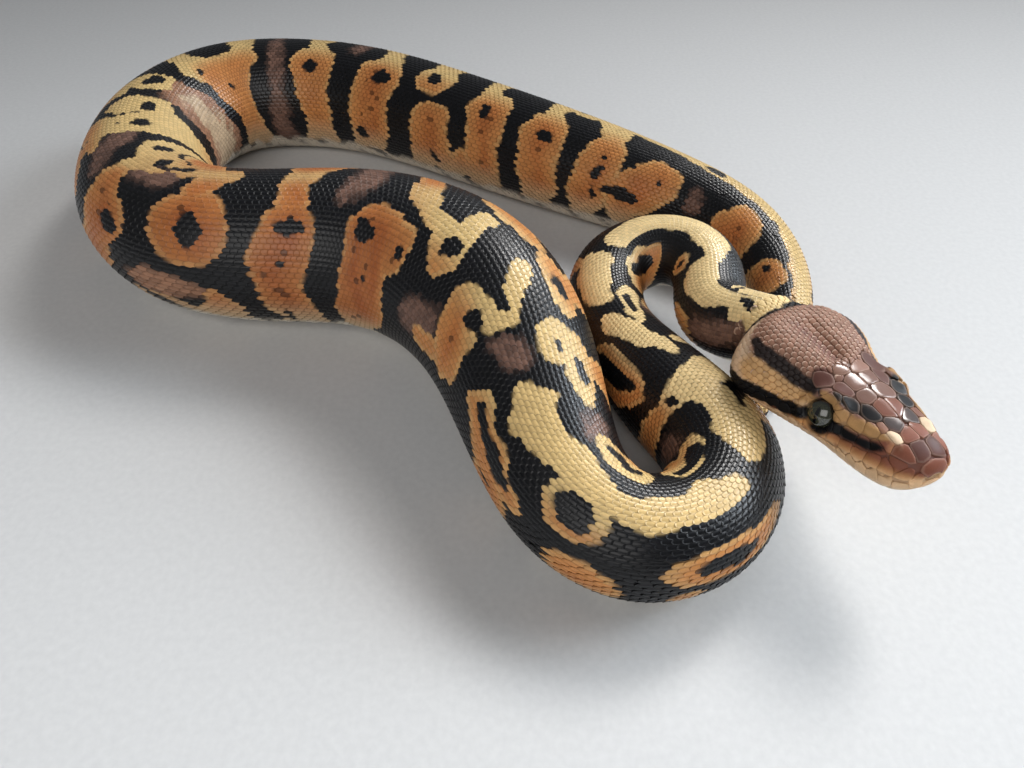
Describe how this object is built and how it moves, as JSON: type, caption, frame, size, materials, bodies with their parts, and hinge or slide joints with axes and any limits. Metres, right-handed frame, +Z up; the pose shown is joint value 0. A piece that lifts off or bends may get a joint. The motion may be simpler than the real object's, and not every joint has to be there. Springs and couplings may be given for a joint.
{
  "type": "coiled ball python",
  "caption": "Still, life-size model of a young ball python lying in a loose coil on its belly, with its head raised over the last loop, mouth closed.",
  "frame": {"origin": "the middle of the coil's bounding box, on the floor that the belly rests on", "axes": "+Z is up. +X runs to the right and +Y to the back as seen from the side that the head and the lower loop lie towards."},
  "size_m": [0.1553, 0.1558, 0.029],
  "materials": {
    "scales": "small smooth overlapping scales with a satin sheen, blue-black with tan and yellow blotches and a pale belly",
    "head_scales": "glossy plates on the snout and small scales on the crown, pinkish brown, with black stripes and buff lips",
    "eye": "wet, very dark green-brown with a narrow upright pupil"
  },
  "bodies": {
    "root": {"head": "head_scales", "lower_jaw": "head_scales", "eye_left": "eye", "eye_right": "eye", "neck_front": "scales", "neck_back": "scales", "trunk_01": "scales", "trunk_02": "scales", "trunk_03": "scales", "trunk_04": "scales", "trunk_05": "scales", "trunk_06": "scales", "trunk_07": "scales", "trunk_08": "scales", "trunk_09": "scales", "trunk_10": "scales", "tail": "scales"}
  },
  "joints": []
}
